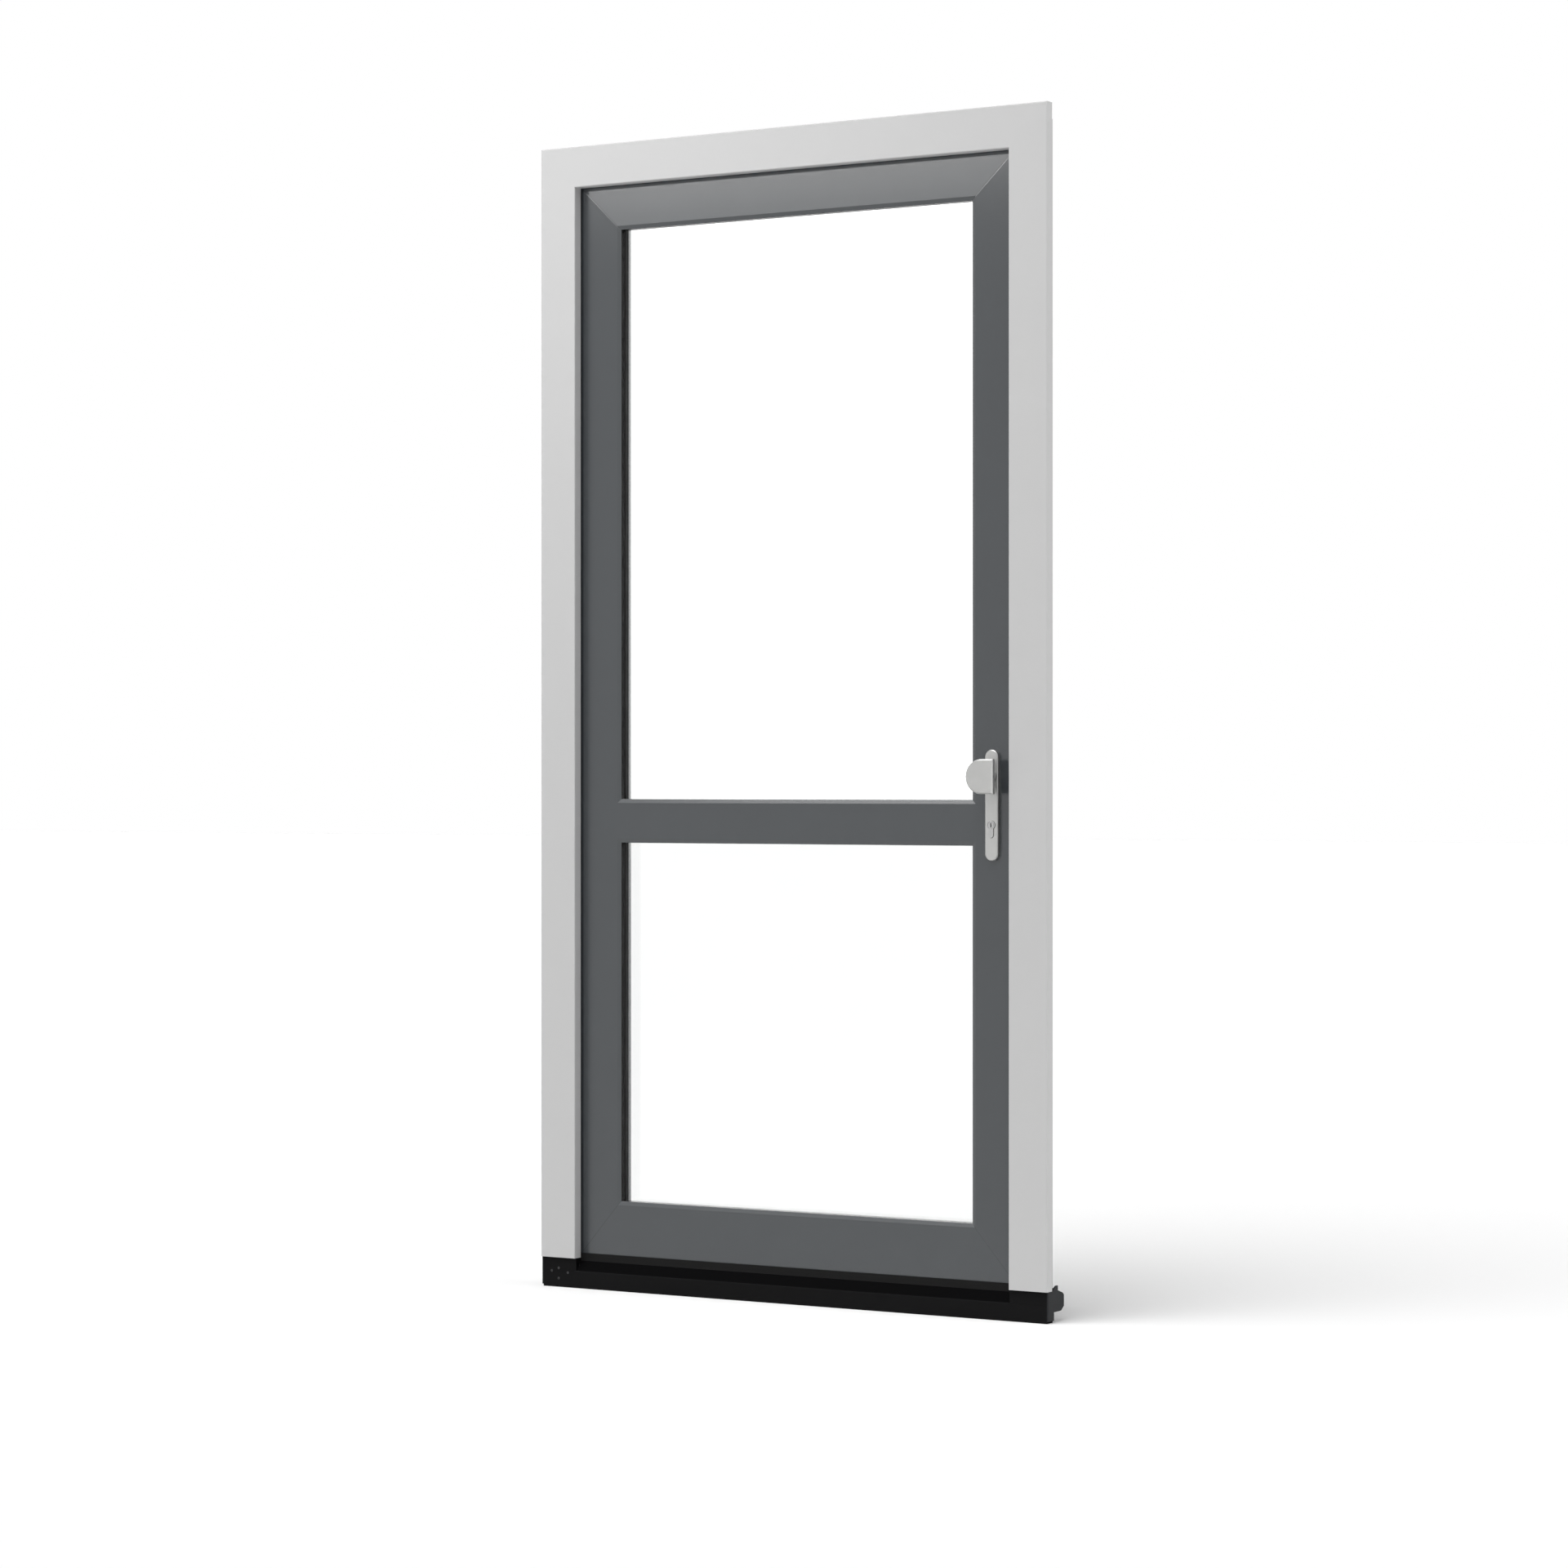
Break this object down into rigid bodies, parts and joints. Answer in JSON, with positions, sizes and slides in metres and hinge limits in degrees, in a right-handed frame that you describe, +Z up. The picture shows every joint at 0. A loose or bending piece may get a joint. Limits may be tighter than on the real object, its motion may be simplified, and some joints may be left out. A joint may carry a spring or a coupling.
{
  "type": "glazed upvc front door with frame and threshold",
  "caption": "Inward-opening front door with clear glass panes over and under a mid rail, in a frame on a low threshold, with a D-shaped pull on a narrow plate.",
  "frame": {"origin": "centre of the underside of the threshold's foot, on the floor under the middle of the door", "axes": "+X along the door towards the lock side, +Y from the outside to the room, +Z up"},
  "size_m": [1.15, 0.188, 2.3],
  "materials": {
    "frame_white": "smooth satin white upvc",
    "leaf_anthracite": "fine-grained anthracite foil on upvc",
    "threshold_black": "smooth black plastic",
    "cap_grey": "moulded dark grey plastic",
    "seal_rubber": "matt black rubber",
    "clear_glass": "clear float glass",
    "spacer_black": "matt black plastic",
    "satin_aluminium": "satin anodised",
    "lock_steel": "brushed steel"
  },
  "bodies": {
    "frame": {"frame_head": "frame_white", "frame_jamb_left": "frame_white", "frame_jamb_right": "frame_white", "frame_seal": "seal_rubber", "strike_plates": "lock_steel", "threshold_sill": "threshold_black", "threshold_seal": "seal_rubber", "threshold_block_left": "threshold_black", "threshold_block_right": "threshold_black", "threshold_end_cap_left": "cap_grey", "threshold_end_cap_right": "cap_grey", "hinge_on_frame_lower": "satin_aluminium", "hinge_on_frame_middle": "satin_aluminium", "hinge_on_frame_upper": "satin_aluminium", "hinge_pins": "lock_steel"},
    "leaf": {"leaf_hinge_stile": "leaf_anthracite", "leaf_lock_stile": "leaf_anthracite", "leaf_top_rail": "leaf_anthracite", "leaf_bottom_rail": "leaf_anthracite", "leaf_mid_rail": "leaf_anthracite", "leaf_seal": "seal_rubber", "upper_outer_pane": "clear_glass", "upper_inner_pane": "clear_glass", "upper_beads_upright": "leaf_anthracite", "upper_beads_level": "leaf_anthracite", "lower_outer_pane": "clear_glass", "lower_inner_pane": "clear_glass", "lower_beads_upright": "leaf_anthracite", "lower_beads_level": "leaf_anthracite", "glass_spacers": "spacer_black", "outer_gaskets": "seal_rubber", "inner_gaskets": "seal_rubber", "setting_blocks": "spacer_black", "hinge_on_leaf_lower": "satin_aluminium", "hinge_on_leaf_middle": "satin_aluminium", "hinge_on_leaf_upper": "satin_aluminium", "outside_plate": "satin_aluminium", "outside_knob": "satin_aluminium", "lock_cylinder": "lock_steel", "inside_plate": "satin_aluminium", "inside_lever": "satin_aluminium", "lock_faceplate": "lock_steel", "latch_bolt": "lock_steel", "lock_bolts": "lock_steel"}
  },
  "joints": [
    {"name": "door_swing", "type": "hinge", "parent": "frame", "child": "leaf", "pos_m": [-0.529, 0.094, 1.15], "axis": [0, 0, 1], "range_deg": [0, 105]}
  ]
}
